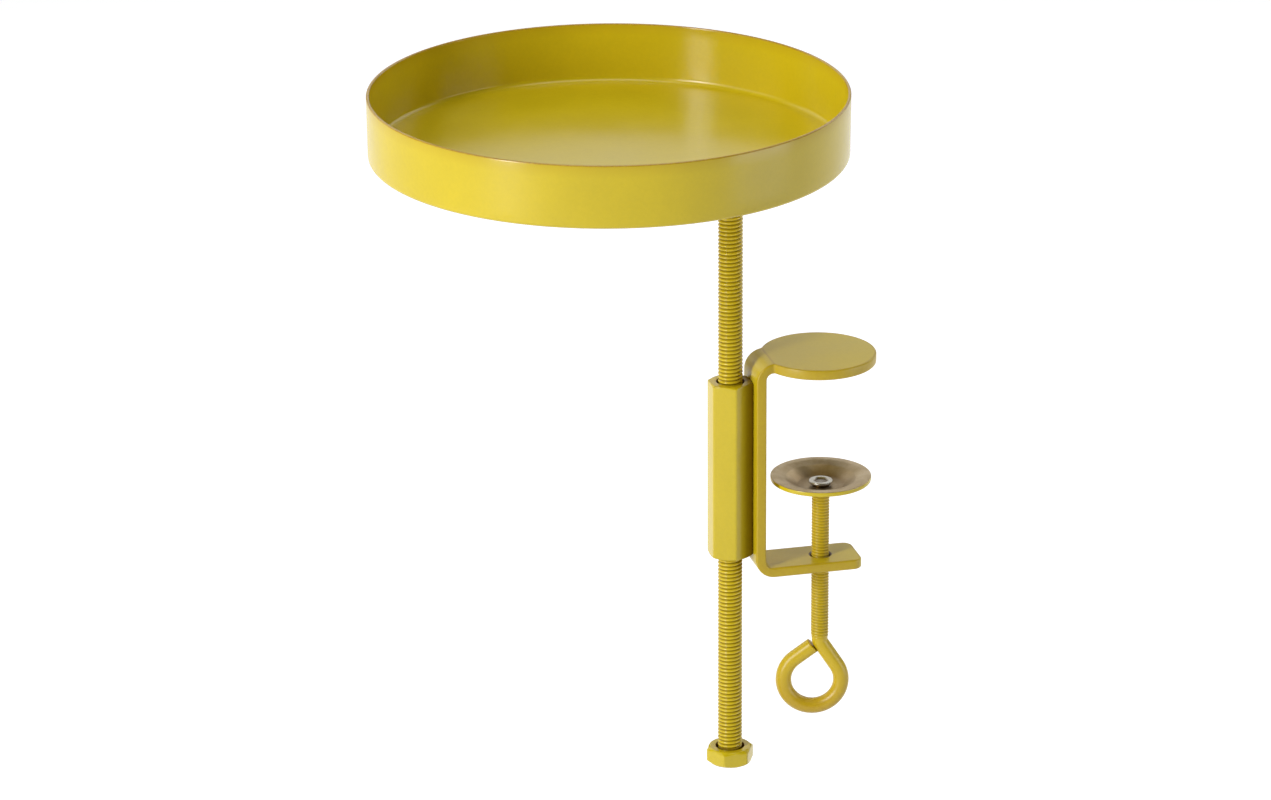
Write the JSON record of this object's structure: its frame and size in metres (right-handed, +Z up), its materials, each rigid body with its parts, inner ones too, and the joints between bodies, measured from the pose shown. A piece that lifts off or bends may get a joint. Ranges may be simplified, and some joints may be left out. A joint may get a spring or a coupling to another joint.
{
  "type": "clip-on shelf",
  "caption": "Round tray on a threaded rod that rises and turns in a sleeve, held at a board's edge by a screw clamp with a swivel cup.",
  "frame": {"origin": "point of the upper jaw's underside on the clamp screw's axis, which rests on the board that the shelf is clamped to", "axes": "+Z up along the rod, +X from the clamp's upright towards the middle of the board"},
  "size_m": [0.1591, 0.148, 0.2269],
  "materials": {
    "coated_steel": "satin mustard powder coat",
    "cup_steel": "dull brownish pressed steel, coated mustard underneath"
  },
  "bodies": {
    "bracket": {"clamp_bracket": "coated_steel", "rod_sleeve": "coated_steel", "sleeve_welds": "coated_steel"},
    "rod": {"threaded_rod": "coated_steel"},
    "tray": {"tray": "coated_steel", "tray_nut": "coated_steel", "tray_welds": "coated_steel", "stop_nut": "coated_steel"},
    "cup": {"swivel_cup": "cup_steel"},
    "screw": {"clamp_screw": "coated_steel"}
  },
  "joints": [
    {"name": "rod_rise", "type": "slide", "parent": "bracket", "child": "rod", "axis": [0, 0, 1], "range_m": [-0.06375, 0.05875]},
    {"name": "tray_turn", "type": "hinge", "parent": "rod", "child": "tray", "pos_m": [-0.0296, 0, 0], "axis": [0, 0, 1], "range_deg": [-18360, 16920]},
    {"name": "cup_rise", "type": "slide", "parent": "bracket", "child": "cup", "axis": [0, 0, 1], "range_m": [-0.021, 0.025]},
    {"name": "screw_turn", "type": "hinge", "parent": "cup", "child": "screw", "pos_m": [0, 0, 0], "axis": [0, 0, 1], "range_deg": [-7560, 9000]}
  ],
  "couplings": [
    {"joint": "rod_rise", "follows": "tray_turn", "m_per_rad": 0.00019894},
    {"joint": "cup_rise", "follows": "screw_turn", "m_per_rad": 0.00015915}
  ]
}
